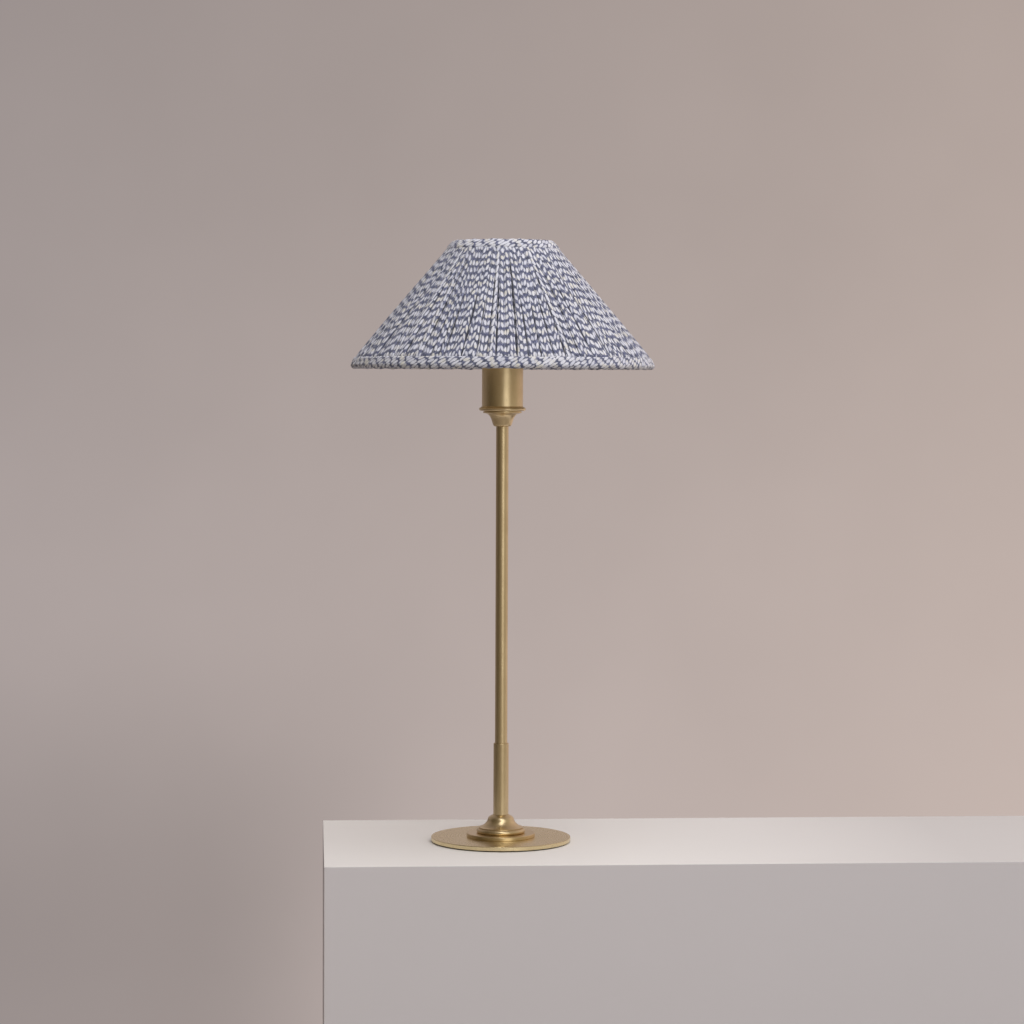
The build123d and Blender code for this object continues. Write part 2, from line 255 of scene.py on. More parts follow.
# ------------------------------------------------------------------ cloth: slate blue with rows of leaning white dashes
def cloth_material(name, uv_name, lean_lo=0.22, lean_hi=0.86, fill=0.0):
    """uv: x counts columns of dashes, y counts rows. Each dash leans the other way than its neighbour."""
    t = Tree(name)
    u, v, _ = t.xyz(t.uv(uv_name))
    wander = t.math("SUBTRACT", t.noise(t.vec(t.math("MULTIPLY", u, 1.1), t.math("MULTIPLY", v, 2.3)), 1.0, 3.0, 0.6), 0.5)
    uw = t.math("ADD", u, t.math("MULTIPLY", wander, 0.34))
    col = t.math("FLOOR", uw)
    xl = t.math("SUBTRACT", t.math("FRACT", uw), 0.5)
    par = t.math("SUBTRACT", t.math("MULTIPLY", t.math("MODULO", t.math("ABSOLUTE", col), 2.0), 2.0), 1.0)
    par = t.math("MULTIPLY", par, t.range(t.white(t.vec(col, 19.3)), 0.76, 0.77, 1.0, -1.0))
    # a column sits a little off its neighbours' rows, and the rows drift slowly
    jit = t.math("MULTIPLY", t.math("SUBTRACT", t.white(t.vec(col, 3.7)), 0.5), 0.42)
    slow = t.math("MULTIPLY", t.math("SUBTRACT", t.noise(t.vec(t.math("MULTIPLY", u, 0.06), t.math("MULTIPLY", v, 0.15)), 1.0, 2.0, 0.5), 0.5), 1.0)
    w = t.math("ADD", t.math("ADD", v, jit), slow)
    row = t.math("FLOOR", w)
    yl = t.math("SUBTRACT", t.math("FRACT", w), 0.5)
    r1 = t.white(t.vec(col, row))
    r2 = t.white(t.vec(t.math("ADD", col, 37.0), t.math("ADD", row, 11.0)))
    r3 = t.white(t.vec(t.math("ADD", col, 91.0), 5.3))
    # each dash leans by 10 to 22 degrees and has ragged, pointed ends
    lean = t.math("MULTIPLY", par, t.range(r1, 0.0, 1.0, lean_lo, lean_hi))
    xs = t.math("SUBTRACT", xl, t.math("MULTIPLY", lean, yl))
    a = t.math("DIVIDE", xs, t.range(r2, 0.0, 1.0, 0.33 + fill, 0.49 + fill))
    long = t.math("MAXIMUM", t.range(r2, 1.0, 0.0, 0.31 + fill, 0.44 + fill), t.range(r3, 0.90, 0.91, 0.0, 0.64))
    b = t.math("DIVIDE", t.math("ADD", yl, t.range(r1, 0.0, 1.0, -0.09, 0.09)), long)
    rag = t.math("MULTIPLY", t.math("SUBTRACT", t.noise(t.vec(t.math("MULTIPLY", u, 7.0), t.math("MULTIPLY", v, 7.0)), 1.0, 2.0, 0.6), 0.5), 1.35)
    d = t.math("ADD", t.math("ADD", t.math("POWER", t.math("ABSOLUTE", a), 1.9), t.math("POWER", t.math("ABSOLUTE", b), 2.1)), rag)
    dash = t.range(d, 0.62, 1.14, 1.0, 0.0, True)
    # the blue ground, deeper between the rows and greyer between the dashes
    between_rows = t.range(t.math("ABSOLUTE", yl), 0.30, 0.47, 0.0, 1.0, True)
    ground = t.mix(between_rows, GROUND_GREY, GROUND_BLUE)
    patch = t.noise(t.vec(t.math("MULTIPLY", u, 0.55), t.math("MULTIPLY", v, 0.9)), 1.0, 3.0, 0.6)
    ground = t.mix(t.range(patch, 0.42, 0.60, 0.0, 0.75), ground, GROUND_SLATE)
    # pale threads that run through the ground
    thread = t.noise(t.vec(t.math("MULTIPLY", u, 6.0), t.math("MULTIPLY", v, 1.6)), 1.0, 2.0, 0.6)
    ground = t.mix(t.range(thread, 0.50, 0.68, 0.0, 0.60, True), ground, GROUND_PALE)
    # small dark flecks where the ground shows deepest
    fleck = t.noise(t.vec(t.math("ADD", t.math("MULTIPLY", u, 1.7), 7.0), t.math("MULTIPLY", v, 2.4)), 1.0, 2.0, 0.6)
    ground = t.mix(t.range(fleck, 0.54, 0.66, 0.0, 0.62, True), ground, (0.034, 0.038, 0.056))
    white = t.mix(t.range(t.noise(t.vec(t.math("MULTIPLY", u, 0.3), t.math("MULTIPLY", v, 1.0)), 1.0, 2.0, 0.5), 0.50, 0.66), WHITE_A, WHITE_B)
    white = t.mix(t.range(thread, 0.35, 0.6, 0.0, 0.24), white, GROUND_PALE)
    white = t.mix(t.range(r1, 0.55, 1.0, 0.0, 0.38), white, GROUND_PALE)
    color = t.mix(dash, ground, white)
    # painted shade: the cloth down in the folds is out of the light, so it is darkened here, broken up by noise
    broken = t.range(t.noise(t.vec(t.math("MULTIPLY", u, 2.0), t.math("MULTIPLY", v, 1.5)), 1.0, 2.0, 0.5), 0.42, 0.58, 0.50, 1.0)
    color = t.mix(t.math("MULTIPLY", t.attr("painted_shade"), broken), color, (0.022, 0.024, 0.036))
    # weave, at the thread's own scale
    weave_u = t.math("SINE", t.math("MULTIPLY", u, 2 * math.pi * 9.0))
    weave_v = t.math("SINE", t.math("MULTIPLY", v, 2 * math.pi * 22.0))
    weave = t.math("MULTIPLY", t.math("ADD", weave_u, weave_v), 0.25)
    color = t.mix(t.math("ADD", 0.06, t.math("MULTIPLY", weave, 0.10)), color, (0.03, 0.03, 0.05))
    n = t.bump(t.math("ADD", t.math("MULTIPLY", weave, 0.5), t.math("MULTIPLY", dash, 0.6)), 0.35, 0.00012)
    t.set(color=color, rough=0.86, normal=n, sheen=0.25, sheen_rough=0.5, spec=0.25)
    return t.mat


GROUND_BLUE = srgb(91, 96, 131)
GROUND_GREY = srgb(121, 125, 149)
GROUND_SLATE = srgb(79, 85, 106)
GROUND_PALE = srgb(178, 183, 210)
WHITE_A = srgb(233, 235, 246)
WHITE_B = srgb(235, 232, 223)

# ------------------------------------------------------------------ shade geometry, in millimetres
R_TOP, Z_TOP, W_TOP = 48.2, 596.6, 1.4
R_BOT, Z_BOT, W_BOT = 147.6, 476.4, 1.6
LINE = math.hypot(R_BOT - R_TOP, Z_BOT - Z_TOP)
DR, DZ = (R_BOT - R_TOP) / LINE, (Z_BOT - Z_TOP) / LINE
COLUMN = 3.30        # width of one column of dashes, on the flat cloth


def on_cone(s, off):
    return R_TOP + DR * s - DZ * off, Z_TOP + DZ * s + DR * off


def smooth01(x):
    x = np.clip(x, 0, 1)
    return x * x * (3 - 2 * x)


def gathered_cover():
    n_ribs = 94
    rows = 112
    k = 13                                # points across half a rib
    width = np.clip(RNG.normal(1.0, 0.24, n_ribs), 0.55, 1.65)
    cols = np.where(width > 1.30, 5, np.where(width > 0.95, 4, 3))      # columns of dashes in each rib's cloth
    edge = np.concatenate([[0], np.cumsum(width)])
    edge = edge / edge[-1] * 2 * math.pi
    lean = RNG.uniform(0.40, 0.60, n_ribs)                             # where the crest sits in its rib
    rib_h = RNG.normal(0, 0.30, n_ribs)
    deep = RNG.random(n_ribs) < 0.78                                   # valley after rib i
    depth = np.where(deep, RNG.uniform(0.82, 1.0, n_ribs), RNG.uniform(0.30, 0.60, n_ribs))
    opens = RNG.uniform(0.18, 0.48, n_ribs)
    gap = np.where(deep, RNG.uniform(0.62, 1.30, n_ribs), RNG.uniform(0.06, 0.22, n_ribs))
    # the gathers are pulled open up to the top ring in a few places
    turn = np.degrees(edge[1:])
    early = ((turn > 203) & (turn < 238)) | ((turn > 318) & (turn < 330)) | ((turn > 20) & (turn < 60)) | ((turn > 118) & (turn < 140))
    opens = np.where(early, opens * 0.15, opens)
    main = int(np.argmin(np.abs(turn - 276)))
    deep[main], gap[main], opens[main], depth[main] = True, 1.3, 0.05, 1.0
    drift = np.cumsum(RNG.normal(0, 0.05, n_ribs) + np.where(deep, RNG.normal(0, 0.10, n_ribs), 0))
    drift -= np.linspace(0, drift[-1], n_ribs)
    wob_a, wob_p = RNG.uniform(0.0, 0.008, n_ribs), RNG.uniform(0, 6.28, n_ribs)
    # each open fold narrows and widens on its way down
    own = np.random.default_rng(77)
    wave, wave_p = own.uniform(16, 38, n_ribs), own.uniform(0, 6.28, n_ribs)
    s = np.concatenate([[1.2, 3.0, 5.5], np.linspace(8.0, LINE - 8.0, rows - 6), [LINE - 5.5, LINE - 3.2, LINE - 1.6]])
    u = s / LINE
    strut = (np.arange(8) * 45 + 22.5) * math.pi / 180
    crest_off = 3.20 + 1.30 * smooth01((u - 0.06) / 0.70)              # how far the folds stand out
    crest_off = crest_off - 1.9 * smooth01((u - 0.942) / 0.024)
    crest_off = crest_off - 0.42 * smooth01((0.060 - u) / 0.009) - 0.35 * smooth01((0.03 - u) / 0.03)
    floor_off = 0.35 + 1.25 * smooth01((0.05 - u) / 0.05) + 1.35 * smooth01((u - 0.95) / 0.03)
    span = np.maximum(crest_off - floor_off, 0.15)
    cone_r = R_TOP + DR * s
    P, S, F = [], [], []
    start_col = np.concatenate([[0], np.cumsum(cols)])
    for i in range(n_ribs):
        j_before = (i - 1) % n_ribs
        w = wob_a[i] * np.sin(u * 5 + wob_p[i])
        e0 = edge[i] + wob_a[j_before] * np.sin(u * 5 + wob_p[j_before])
        e1 = edge[i + 1] + w
        c = e0 + (e1 - e0) * lean[i]
        shift = 0.5 if cols[i] % 2 == 0 else 0.0                       # a crest shows whole dashes
        h = crest_off + rib_h[i] * smooth01(u / 0.3) * smooth01((0.97 - u) / 0.1)
        mid = start_col[i] + cols[i] / 2.0 + shift
        for side in (0, 1):
            v = j_before if side == 0 else i
            W = (c - e0 if side == 0 else e1 - c) * cone_r             # half rib, in mm
            g_top = 0.10
            pinch = 0.60 + 0.40 * np.sin(wave[v] * u + wave_p[v] + 2.0 * np.sin(0.43 * wave[v] * u + 1.7 * wave_p[v]))
            g = g_top + (gap[v] - g_top) * pinch * smooth01((u - opens[v]) / 0.22) * smooth01((1.0 - u) / 0.12)
            g = np.minimum(g, 0.32 * W)
            valley = crest_off - depth[v] * span * (0.12 + 0.88 * smooth01((u - 0.055) / 0.22))
            D = np.maximum(h - valley, 0.12)
            crown = np.minimum(np.minimum(0.30 * W, 1.0), 0.55 * D)
            t = np.arange(9) / 8.0
            xs = (W - g)[:, None] * (1 - (1 - t)[None, :] ** 1.5)
            ys = -crown[:, None] * (1 - (1 - t)[None, :] ** 1.5) ** 2.4
            fx = (W - g)[:, None] + g[:, None] * np.array([0.12, 0.20, 0.42])[None, :]
            fy = -crown[:, None] - (D - crown)[:, None] * np.array([0.40, 0.80, 0.99])[None, :]
            x = np.concatenate([xs, fx, W[:, None]], 1)
            y = np.concatenate([ys, fy, -D[:, None]], 1)
            arcl = np.concatenate([np.zeros((len(u), 1)), np.cumsum(np.hypot(np.diff(x, axis=1), np.diff(y, axis=1)), axis=1)], 1) / COLUMN
            half = cols[i] / 2.0 + (shift if side == 0 else -shift)
            a8 = np.minimum(arcl[:, 8], half * 0.97)
            scale = a8 / np.maximum(arcl[:, 8], 1e-6)
            cloth = arcl * scale[:, None]
            rest = (half - a8)[:, None] * (arcl[:, 9:] - arcl[:, 8:9]) / np.maximum(arcl[:, -1:] - arcl[:, 8:9], 1e-6)
            cloth[:, 9:] = a8[:, None] + rest
            sign = -1 if side == 0 else 1
            ang = c[:, None] + sign * x / cone_r[:, None]
            off = h[:, None] + y
            cl = mid + sign * cloth
            # painted shade: the valleys between the ribs get a darkness that grows with their depth
            painted_valley_shade = smooth01((-y - crown[:, None] - 0.25) / 1.1) * 0.90
            F.append(painted_valley_shade[:, ::-1][:, :-1] if side == 0 else painted_valley_shade[:, :-1])
            if side == 0:
                P.append((ang[:, ::-1][:, :-1], off[:, ::-1][:, :-1])); S.append((cl[:, ::-1][:, :-1], np.full(x.shape[1] - 1, drift[i])))
            else:
                P.append((ang[:, :-1], off[:, :-1])); S.append((cl[:, :-1], np.full(x.shape[1] - 1, drift[i])))
    ang = np.concatenate([a for a, _ in P], 1)
    off = np.concatenate([o for _, o in P], 1)
    cl = np.concatenate([a for a, _ in S], 1)
    dr = np.concatenate([b for _, b in S])
    painted_shade = np.concatenate(F, 1)
    ncol = ang.shape[1]
    # valleys are shared by two ribs, so both sides meet at one height there
    ss = np.repeat(s[:, None], ncol, 1)
    # small creases that run down the cloth, and slack between the rings
    uu = ss / LINE
    crease = np.zeros_like(ang)
    for f_a, f_s, amp in ((141, 2.0, 0.10), (233, 3.1, 0.08), (377, 1.3, 0.05), (59, 1.1, 0.16)):
        crease += amp * np.sin(ang * f_a + uu * f_s * 2 + RNG.uniform(0, 6.28)) * (0.5 + 0.5 * np.sin(uu * f_s * 3 + ang * 7 + RNG.uniform(0, 6.28)))
    env = smooth01((uu - 0.03) / 0.15) * smooth01((0.965 - uu) / 0.08)
    off = off + crease * env
    # the struts hold the cloth off
    for a in strut:
        dd = np.abs((ang - a + math.pi) % (2 * math.pi) - math.pi) * cone_r[:, None]
        low = 1.35 - 1.1 * smooth01((dd - 0.9) / 1.2)
        off = np.maximum(off, low)
    r, z = on_cone(ss, off)
    X, Y = r * np.cos(ang), r * np.sin(ang)
    verts = np.stack([X, Y, z], 2).reshape(-1, 3) * MM
    nr = len(s)
    i, j = np.meshgrid(np.arange(nr - 1), np.arange(ncol), indexing="ij")
    jn = (j + 1) % ncol
    faces = np.stack([i * ncol + j, (i + 1) * ncol + j, (i + 1) * ncol + jn, i * ncol + jn], 2).reshape(-1, 4)
    o = mesh_object("shade_cover_cloth", verts, faces)
    # the painted shade of the valleys is kept on the mesh as an attribute
    value_attribute(o, "painted_shade", painted_shade.ravel())
    # rows of the pattern: closer at the top than at the bottom
    phase = (LINE / 1.25) * np.log((9.25 + 1.25 * uu) / 9.25)
    vv = phase + dr[None, :]
    total = start_col[-1]
    # the map must not jump at the seam, so it is set per face corner
    cu = cl.copy()
    loops_u = np.stack([cu[i, j], cu[i + 1, j], cu[i + 1, jn], cu[i, jn]], 2)
    wrap = (j == ncol - 1)
    loops_u[wrap, 2] = np.where(loops_u[wrap, 2] < total / 2, loops_u[wrap, 2] + total, loops_u[wrap, 2])
    loops_u[wrap, 3] = np.where(loops_u[wrap, 3] < total / 2, loops_u[wrap, 3] + total, loops_u[wrap, 3])
    loops_v = np.stack([vv[i, j], vv[i + 1, j], vv[i + 1, jn], vv[i, jn]], 2)
    uv_loops(o, "Cloth", np.stack([loops_u, loops_v], 3).reshape(-1, 2))
    # a map for textures: eight strips, one above the other
    strips = 8
    per = ncol / strips
    strip = np.floor((j + 0.5) / per).astype(int)
    a0 = (j - strip * per) / per
    a1 = (j + 1 - strip * per) / per
    sv = (s - s[0]) / (s[-1] - s[0])
    v0, v1 = sv[i], sv[i + 1]
    mu = lambda a: 0.004 + 0.992 * np.clip(a, 0, 1)
    mv = lambda b: (strip + 0.04 + 0.92 * (1 - b)) / strips
    lu = np.stack([mu(a0), mu(a0), mu(a1), mu(a1)], 2)
    lv = np.stack([mv(v0), mv(v1), mv(v1), mv(v0)], 2)
    uv_loops(o, "OFBake", np.stack([lu, lv], 3).reshape(-1, 2))
    return o, total * COLUMN * MM, (s[-1] - s[0]) * MM


cover, cloth_long, cloth_tall = gathered_cover()
cover_mat = cloth_material("dash_cloth", "Cloth")
put(cover, "shade", cover_mat, ["shade_cover"])


# ------------------------------------------------------------------ bindings: bias strips folded round the rings
def ring_strip(name, section, segs, lump, row_mm, tilt, up, seed, underside_shade=0.0):
    """A strip folded round a shade ring. section is (r, z) points in mm, from the outer edge round to the inner edge."""
    rng = np.random.default_rng(seed)
    sec = np.array(section, float)
    d = np.concatenate([[0], np.cumsum(np.linalg.norm(np.diff(sec, axis=0), axis=1))])
    tan = np.gradient(sec, axis=0)
    nor = np.stack([tan[:, 1], -tan[:, 0]], 1)
    nor /= np.linalg.norm(nor, axis=1)[:, None]
    centre = sec.mean(0)
    if ((sec - centre) * nor).sum() < 0:
        nor = -nor
    th = math.pi / 2 + np.arange(segs) * 2 * math.pi / segs
    m = len(sec)
    r0 = sec[:, 0].mean()
    L = 2 * math.pi * r0
    along = (th - th[0]) * r0
    pucker = np.zeros((m, segs))
    for lam, amp in ((L / round(L / 9.5), 0.5), (L / round(L / 5.3), 0.30), (L / round(L / 23.0), 0.6), (L / round(L / 3.1), 0.16)):
        n = round(L / lam)
        sh = rng.uniform(-0.5, 0.5)
        pucker += lump * amp * np.sin(n * th[None, :] + d[:, None] * sh + rng.uniform(0, 6.28)) * (0.55 + 0.45 * np.sin(round(n / 5) * th[None, :] + rng.uniform(0, 6.28)))
    flat = smooth01(d / 3.0)[:, None] * 0.75 + 0.25
    off = pucker * flat
    edge_wave = np.zeros(segs)
    for n, amp in ((round(L / 31), 0.35), (round(L / 13), 0.22), (round(L / 60), 0.3)):
        edge_wave += amp * np.sin(n * th + rng.uniform(0, 6.28))
    fall = np.exp(-d / 3.0)[:, None] * edge_wave[None, :] * lump * 1.6
    base = sec[:, None, :] + off[:, :, None] * nor[:, None, :] + fall[:, :, None] * (-tan / np.linalg.norm(tan, axis=1)[:, None])[:, None, :]
    X = base[:, :, 0] * np.cos(th)[None, :]
    Y = base[:, :, 0] * np.sin(th)[None, :]
    verts = np.stack([X, Y, base[:, :, 1]], 2).reshape(-1, 3) * MM
    i, j = np.meshgrid(np.arange(m - 1), np.arange(segs), indexing="ij")
    jn = (j + 1) % segs
    faces = np.stack([i * segs + j, (i + 1) * segs + j, (i + 1) * segs + jn, i * segs + jn], 2).reshape(-1, 4)
    o = mesh_object(name, verts, faces)
    # painted shade: the downward-facing underside of the rolled lower edge is darkened
    value_attribute(o, "painted_shade", np.repeat(underside_shade * smooth01((-nor[:, 1] - 0.80) / 0.18), segs))
    # the strip is cut on the bias, so the cloth's dashes lie across it at an angle
    c, s_ = math.cos(tilt), math.sin(tilt)
    a0 = along[j]; a1 = np.where(j == segs - 1, L, along[jn])
    d0, d1 = d[i], d[i + 1]
    cu = lambda a, dd: (-a * s_ + up * dd * c) / COLUMN
    cv = lambda a, dd: (a * c + up * dd * s_) / row_mm
    lu = np.stack([cu(a0, d0), cu(a0, d1), cu(a1, d1), cu(a1, d0)], 2)
    lv = np.stack([cv(a0, d0), cv(a0, d1), cv(a1, d1), cv(a1, d0)], 2)
    uv_loops(o, "Cloth", np.stack([lu, lv], 3).reshape(-1, 2))
    strips = 8
    per = segs / strips
    strip = np.floor((j + 0.5) / per).astype(int)
    mu = lambda a: 0.004 + 0.992 * np.clip(a, 0, 1)
    mv = lambda b: (strip + 0.06 + 0.88 * b) / strips
    b0, b1 = d0 / d[-1], d1 / d[-1]
    x0, x1 = (j - strip * per) / per, (j + 1 - strip * per) / per
    uv_loops(o, "OFBake", np.stack([np.stack([mu(x0), mu(x0), mu(x1), mu(x1)], 2), np.stack([mv(b0), mv(b1), mv(b1), mv(b0)], 2)], 3).reshape(-1, 2))
    sol = o.modifiers.new("thick", "SOLIDIFY")
    sol.thickness = 0.00045
    sol.offset = -1.0
    return o, L * MM, d[-1] * MM


def arc_points(cx, cz, r, a0, a1, n):
    return [(cx + r * math.cos(math.radians(a0 + (a1 - a0) * i / n)), cz + r * math.sin(math.radians(a0 + (a1 - a0) * i / n))) for i in range(n + 1)]


normal_deg = math.degrees(math.atan2(DR, -DZ))   # direction away from the cone, in the (r, z) plane
top_sec = [on_cone(9.4 - 1.5 * i, (1.90, 2.95, 3.36, 3.32, 3.22, 3.12)[i]) for i in range(6)] + arc_points(R_TOP, Z_TOP - 0.2, 3.15, normal_deg + 12, normal_deg + 208, 16) + [on_cone(3.5, -3.0), on_cone(6.5, -2.75)]
bot_sec = [on_cone(LINE - 6.6 + 1.25 * i, (4.6, 4.62, 4.5, 4.15, 3.75)[i]) for i in range(5)] + arc_points(R_BOT, Z_BOT, 3.3, normal_deg - 6, normal_deg - 200, 18) + [on_cone(LINE - 4.5, -3.0), on_cone(LINE - 8.0, -2.75)]
top_bind, top_long, top_wide = ring_strip("shade_top_binding", top_sec, 720, 0.50, 9.2, math.radians(38), 1, 5)
# the bottom binding gets painted shade on its underside
bot_bind, bot_long, bot_wide = ring_strip("shade_bottom_binding", bot_sec, 1800, 0.55, 9.2, math.radians(36), -1, 9, underside_shade=0.50)
bind_mat = cloth_material("dash_cloth_bias", "Cloth", 0.10, 0.50, 0.065)
put(top_bind, "shade", bind_mat, ["top_binding"])
put(bot_bind, "shade", bind_mat, ["bottom_binding"])


# ------------------------------------------------------------------ lining: plain cream cotton, stretched inside the wires
def lining():
    rng = np.random.default_rng(31)
    segs, rows = 720, 60
    s = np.linspace(3.2, LINE - 3.6, rows)
    th = np.arange(segs) * 2 * math.pi / segs
    u = s / LINE
    strut = (np.arange(8) * 45 + 22.5) * math.pi / 180
    cone_r = R_TOP + DR * s
    off = np.full((rows, segs), -2.1)
    pull = np.zeros((rows, segs))
    for n, amp in ((160, 0.10), (97, 0.12), (61, 0.14), (23, 0.10)):
        pull += amp * np.sin(n * th[None, :] + rng.uniform(0, 6.28) + u[:, None] * rng.uniform(-1, 1)) * (0.5 + 0.5 * np.sin(th[None, :] * rng.integers(5, 19) + rng.uniform(0, 6.28)))
    ends = np.exp(-u / 0.12) + np.exp(-(1 - u) / 0.10)
    off -= np.maximum(pull * (0.25 + ends[:, None]) + 0.2 * ends[:, None], -0.05)
    dist = np.min(np.abs((th[None, :, None] - strut[None, None, :] + math.pi) % (2 * math.pi) - math.pi), axis=2) * cone_r[:, None]
    slack = smooth01(dist / (0.39 * cone_r[:, None])) * np.sin(u * math.pi)[:, None]
    off += 0.0 * slack
    r, z = on_cone(np.repeat(s[:, None], segs, 1), off)
    verts = np.stack([r * np.cos(th)[None, :], r * np.sin(th)[None, :], z], 2).reshape(-1, 3) * MM
    i, j = np.meshgrid(np.arange(rows - 1), np.arange(segs), indexing="ij")
    jn = (j + 1) % segs
    faces = np.stack([i * segs + j, i * segs + jn, (i + 1) * segs + jn, (i + 1) * segs + j], 2).reshape(-1, 4)
    o = mesh_object("shade_lining_cloth", verts, faces)
    a1 = np.where(j == segs - 1, segs, jn) / segs
    lu = np.stack([j / segs, a1, a1, j / segs], 2)
    v0, v1 = (s[i] - s[0]) / (s[-1] - s[0]), (s[i + 1] - s[0]) / (s[-1] - s[0])
    lv = np.stack([v0, v0, v1, v1], 2)
    uv_loops(o, "Lining", np.stack([lu * 620, lv * 156], 3).reshape(-1, 2))
    return o, 2 * math.pi * (R_TOP + R_BOT) / 2 * MM, (s[-1] - s[0]) * MM


def lining_material():
    t = Tree("cream_cotton")
    u, v, _ = t.xyz(t.uv("Lining"))
    wu = t.math("SINE", t.math("MULTIPLY", u, 2 * math.pi * 1.6))
    wv = t.math("SINE", t.math("MULTIPLY", v, 2 * math.pi * 2.4))
    weave = t.math("MULTIPLY", t.math("ADD", wu, wv), 0.5)
    slub = t.noise(t.vec(t.math("MULTIPLY", u, 0.05), t.math("MULTIPLY", v, 0.8)), 1.0, 3.0, 0.6)
    color = t.mix(t.range(slub, 0.35, 0.65), srgb(238, 230, 212), srgb(226, 216, 196))
    color = t.mix(t.range(weave, -1.0, 1.0, 0.0, 0.12), color, srgb(186, 174, 152))
    n = t.bump(t.math("ADD", weave, slub), 0.3, 0.00012)
    return t.set(color=color, rough=0.9, normal=n, sheen=0.2, spec=0.2)


lin, lin_long, lin_tall = lining()
put(lin, "shade", lining_material(), ["shade_lining"])


# ------------------------------------------------------------------ metal
vertical = brass_material("brass_stem", "vertical", rough=0.37)
sleeve_finish = brass_material("brass_sleeve", "around", tone=0.95, rough=0.37)
around = brass_material("brass_turned", "around", tone=1.03, rough=0.30, age=0.6)
flat_face = brass_material("brass_foot", "radial", tone=1.10, rough=0.27, age=0.25)
skirt = brass_material("brass_skirt", "around", tone=1.04, rough=0.33)
for n in ("stem_tube",):
    wear(n, vertical)
wear("stem_sleeve", sleeve_finish)
wear("holder_skirt", skirt)
for n in ("base_boss", "holder_cup"):
    wear(n, around)
wear("base_plate", flat_face)


def threaded_rod_material():
    t = Tree("zinc_thread")
    co = t.coord("Object")
    x, y, z = t.xyz(co)
    ang = t.math("DIVIDE", t.math("ARCTAN2", y, x), 2 * math.pi)
    turn = t.math("FRACT", t.math("ADD", t.math("MULTIPLY", z, 1000.0), ang))
    ridge = t.math("ABSOLUTE", t.math("SUBTRACT", turn, 0.5))
    cloud = t.noise(co, 90.0, 4.0, 0.6)
    col = t.mix(t.range(cloud, 0.3, 0.7), (0.50, 0.50, 0.49), (0.62, 0.61, 0.58))
    n = t.bump(ridge, 1.0, 0.0006)
    return t.set(color=col, metal=1.0, rough=t.range(cloud, 0.3, 0.7, 0.28, 0.40), normal=n)


def zinc_material():
    t = Tree("zinc_plate")
    co = t.coord("Object")
    cloud = t.noise(co, 210.0, 4.0, 0.6)
    fine = t.noise(co, 1900.0, 3.0, 0.6)
    col = t.mix(t.range(cloud, 0.3, 0.7), (0.50, 0.50, 0.48), (0.66, 0.65, 0.60))
    n = t.bump(fine, 0.25, 0.00003)
    return t.set(color=col, metal=1.0, rough=t.range(cloud, 0.3, 0.7, 0.26, 0.42), normal=n)


def felt_material():
    t = Tree("felt")
    co = t.coord("Object")
    fibre = t.noise(co, 900.0, 6.0, 0.75)
    lump = t.noise(co, 60.0, 4.0, 0.6)
    col = t.mix(t.range(fibre, 0.35, 0.65), (0.022, 0.020, 0.018), (0.060, 0.054, 0.046))
    col = t.mix(t.range(lump, 0.3, 0.7, 0.0, 0.35), col, (0.035, 0.031, 0.027))
    n = t.bump(t.math("ADD", fibre, t.math("MULTIPLY", lump, 0.6)), 0.7, 0.0004)
    return t.set(color=col, rough=0.96, normal=n, sheen=0.5, sheen_rough=0.6, spec=0.1)


def plastic_material(name, lo, hi, rough=0.42, grain=2400.0):
    t = Tree(name)
    co = t.coord("Object")
    g = t.noise(co, grain, 2.0, 0.5)
    cloud = t.noise(co, 70.0, 3.0, 0.5)
    col = t.mix(t.range(cloud, 0.3, 0.7), lo, hi)
    n = t.bump(g, 0.16, 0.00005)
    return t.set(color=col, rough=t.range(cloud, 0.3, 0.7, rough - 0.05, rough + 0.05), normal=n)


def ceramic_material():
    t = Tree("glazed_ceramic")
    co = t.coord("Object")
    cloud = t.noise(co, 130.0, 4.0, 0.6)
    fleck = t.range(t.noise(co, 1300.0, 2.0, 0.5), 0.66, 0.74)
    col = t.mix(t.range(cloud, 0.3, 0.7), (0.74, 0.73, 0.70), (0.82, 0.81, 0.78))
    col = t.mix(t.math("MULTIPLY", fleck, 0.35), col, (0.45, 0.42, 0.37))
    n = t.bump(cloud, 0.15, 0.0002)
    return t.set(color=col, rough=t.range(cloud, 0.3, 0.7, 0.14, 0.24), normal=n)


def opal_material():
    t = Tree("opal_globe")
    co = t.coord("Object")
    cloud = t.noise(co, 26.0, 3.0, 0.5)
    col = t.mix(t.range(cloud, 0.3, 0.7), (0.86, 0.85, 0.82), (0.90, 0.89, 0.87))
    n = t.bump(t.noise(co, 1700.0, 2.0, 0.5), 0.08, 0.00004)
    return t.set(color=col, rough=t.range(cloud, 0.3, 0.7, 0.22, 0.30), normal=n, sss=0.35, sss_scale=0.004, coat=0.25, coat_rough=0.18)


def board_material():
    t = Tree("circuit_board")
    co = t.coord("Object")
    cell = t.node("ShaderNodeTexVoronoi", feature="DISTANCE_TO_EDGE")
    t.link(co, cell.inputs["Vector"])
    cell.inputs["Scale"].default_value = 330.0
    lines = t.range(cell.outputs["Distance"], 0.02, 0.06)
    col = t.mix(lines, (0.72, 0.72, 0.68), (0.80, 0.81, 0.79))
    return t.set(color=col, rough=t.range(t.noise(co, 300.0, 2.0, 0.5), 0.3, 0.7, 0.35, 0.5), normal=t.bump(lines, 0.3, 0.0001))


